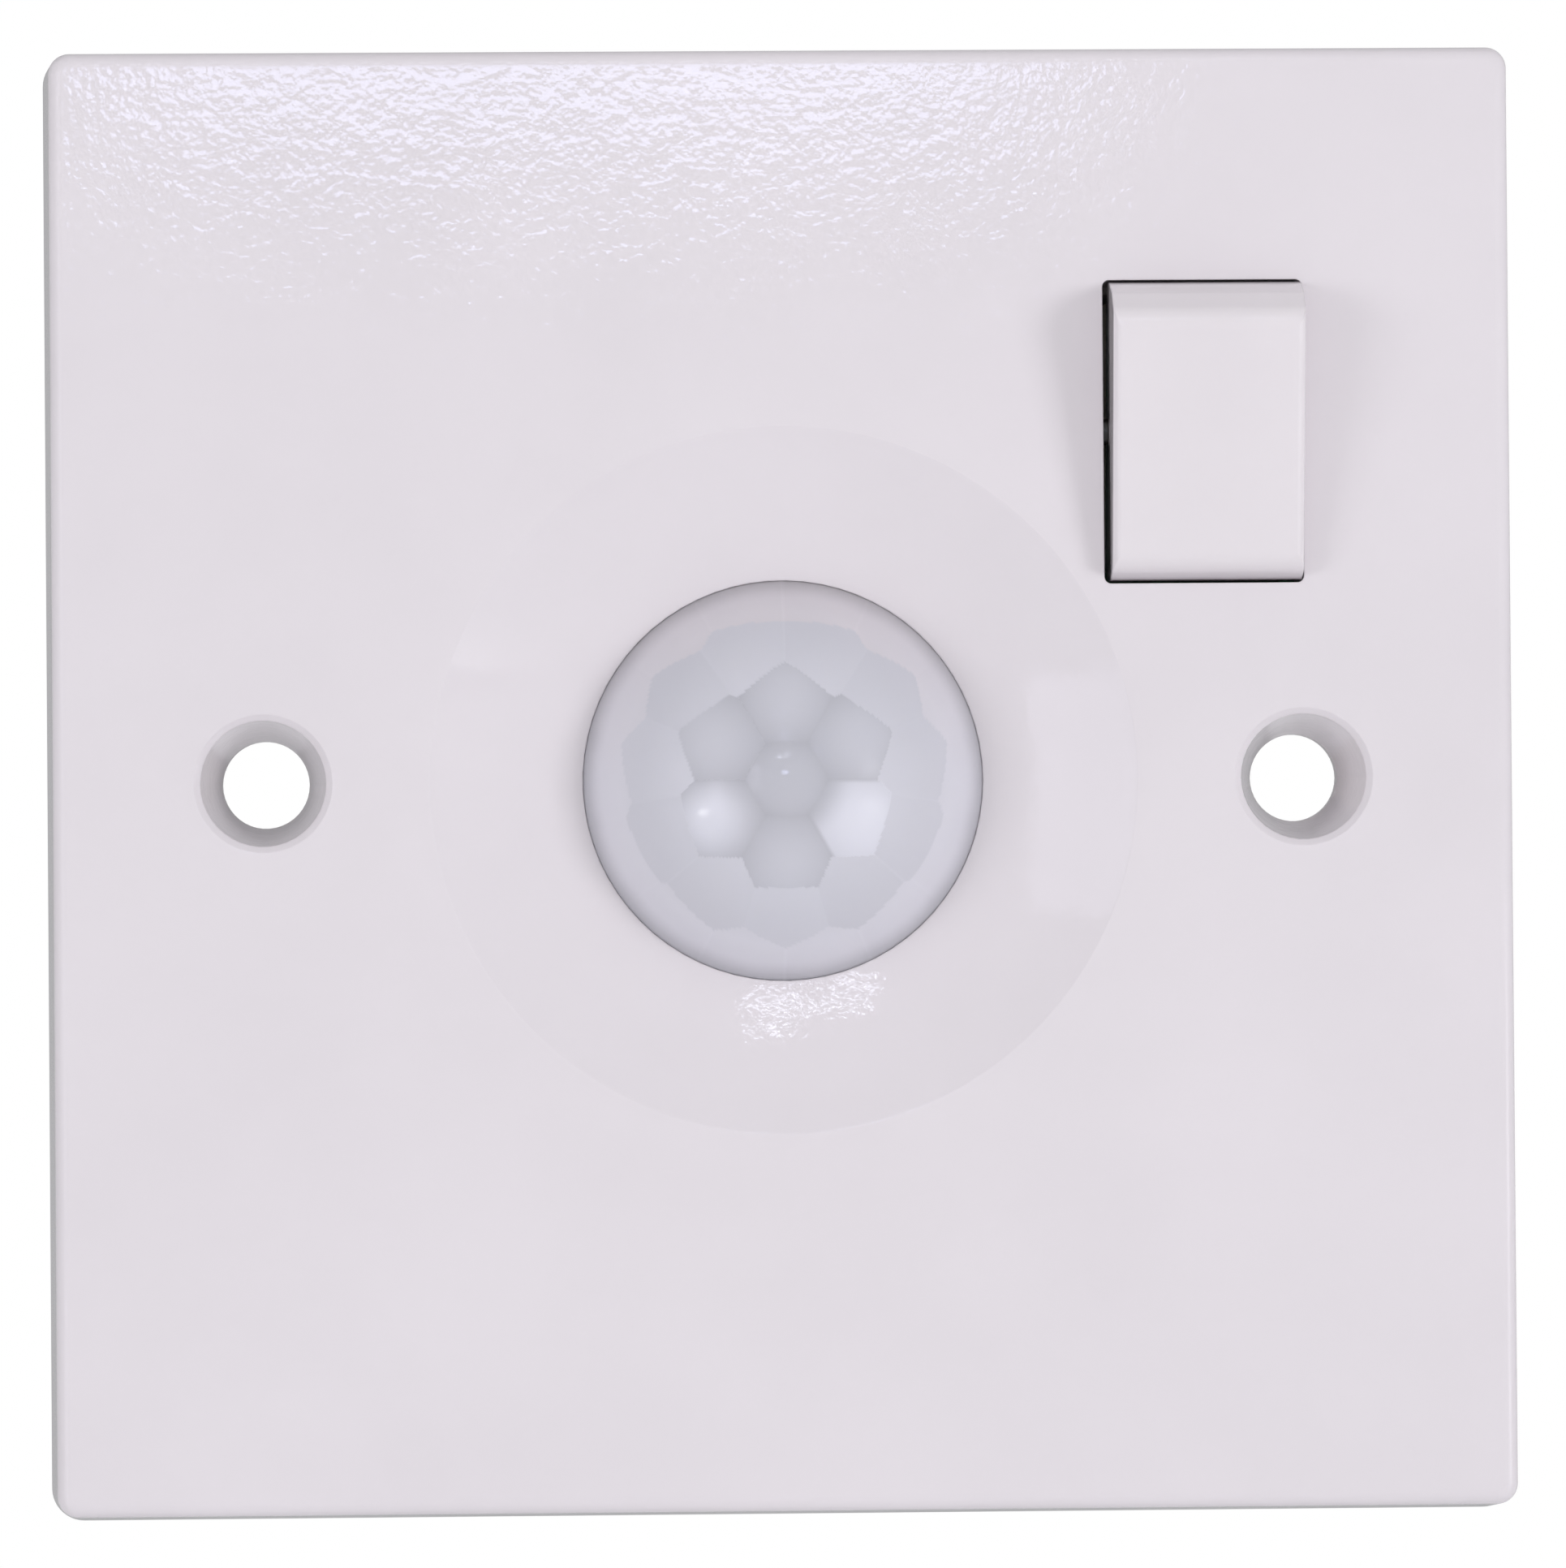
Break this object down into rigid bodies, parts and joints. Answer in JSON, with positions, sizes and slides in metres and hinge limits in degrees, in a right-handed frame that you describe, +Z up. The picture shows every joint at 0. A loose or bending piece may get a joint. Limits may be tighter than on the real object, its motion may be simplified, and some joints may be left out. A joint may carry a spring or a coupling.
{
  "type": "wall-plate occupancy switch",
  "caption": "Square white wall plate with a faceted infra-red sensing dome in a shallow dish, an override rocker, and a rear case with screw terminals.",
  "frame": {"origin": "midway between the two fixing holes, in the plane of the plate's rear rim, which is the face that meets the wall", "axes": "-Y out of the wall towards the room, the way the lens looks; +Y into the wall; +X to the right seen from the room; +Z up the wall"},
  "size_m": [0.086, 0.0368, 0.086],
  "materials": {
    "plate_plastic": "smooth moulded gloss, white",
    "lens_plastic": "translucent milky lens sheet with moulded lenslets",
    "black_nylon": "moulded nylon, fine grain",
    "plated_steel": "zinc-plated steel",
    "rocker_plastic": "smooth moulded gloss, white",
    "natural_nylon": "natural nylon",
    "spring_steel": "drawn spring wire",
    "contact_brass": "stamped brass with silver-faced studs",
    "board_laminate": "green solder mask on glass-fibre laminate",
    "nickel_can": "nickel-plated pressed can",
    "silicon_window": "dark polished silicon filter",
    "tinned_wire": "tinned wire",
    "sensor_ceramic": "ceramic disc with a printed track",
    "chip_epoxy": "moulded epoxy",
    "relay_plastic": "moulded blue cover",
    "capacitor_sleeve": "dark printed-free plastic sleeve",
    "film_capacitor_box": "yellow moulded box",
    "varistor_lacquer": "dipped blue lacquer",
    "choke_core": "ferrite drum with a shrunk sleeve",
    "fuse_ceramic": "ceramic tube with plated caps",
    "resistor_body": "lacquered ceramic rod",
    "trimmer_body": "moulded blue body",
    "trimmer_rotor": "white nylon",
    "case_plastic": "white moulded, fine spark grain",
    "terminal_brass": "extruded brass, drilled"
  },
  "bodies": {
    "base": {"front_plate": "plate_plastic", "lens_dome": "lens_plastic", "lens_retainer": "black_nylon", "retainer_screws": "plated_steel", "switch_housing": "natural_nylon", "fixed_contacts": "contact_brass", "contact_cradle": "contact_brass", "sensor_board": "board_laminate", "sensor_board_screws": "plated_steel", "pyro_can": "nickel_can", "pyro_window": "silicon_window", "pyro_leads": "tinned_wire", "pyro_spacer": "black_nylon", "light_sensor": "sensor_ceramic", "controller_chip": "chip_epoxy", "header_block": "black_nylon", "header_pins": "contact_brass", "power_board": "board_laminate", "power_board_screws": "plated_steel", "relay": "relay_plastic", "electrolytic_capacitors": "capacitor_sleeve", "film_capacitor": "film_capacitor_box", "varistor": "varistor_lacquer", "choke": "choke_core", "fuse": "fuse_ceramic", "rectifier_diodes": "chip_epoxy", "resistors": "resistor_body", "time_trimmer_body": "trimmer_body", "light_trimmer_body": "trimmer_body", "rear_case": "case_plastic", "case_screws": "plated_steel", "terminal_block": "black_nylon", "terminal_clamps": "terminal_brass", "terminal_screws": "plated_steel"},
    "rocker": {"rocker": "rocker_plastic", "rocker_plunger": "natural_nylon", "plunger_spring": "spring_steel"},
    "contact_bridge": {"contact_bridge": "contact_brass"},
    "time_trimmer_rotor": {"time_trimmer_rotor": "trimmer_rotor"},
    "light_trimmer_rotor": {"light_trimmer_rotor": "trimmer_rotor"}
  },
  "joints": [
    {"name": "rocker_tilt", "type": "hinge", "parent": "base", "child": "rocker", "pos_m": [0.0246, -0.0072, 0.0201], "axis": [-1, 0, 0], "range_deg": [0, 20]},
    {"name": "contact_bridge_tilt", "type": "hinge", "parent": "base", "child": "contact_bridge", "pos_m": [0.0246, 0.0003, 0.0201], "axis": [1, 0, 0], "range_deg": [0, 16]},
    {"name": "time_trimmer_turn", "type": "hinge", "parent": "base", "child": "time_trimmer_rotor", "pos_m": [-0.009, 0.022, 0.018], "axis": [0, 1, 0], "range_deg": [-135, 135]},
    {"name": "light_trimmer_turn", "type": "hinge", "parent": "base", "child": "light_trimmer_rotor", "pos_m": [0.009, 0.022, 0.018], "axis": [0, 1, 0], "range_deg": [-135, 135]}
  ],
  "couplings": [
    {"joint": "contact_bridge_tilt", "follows": "rocker_tilt", "ratio": 0.8}
  ]
}
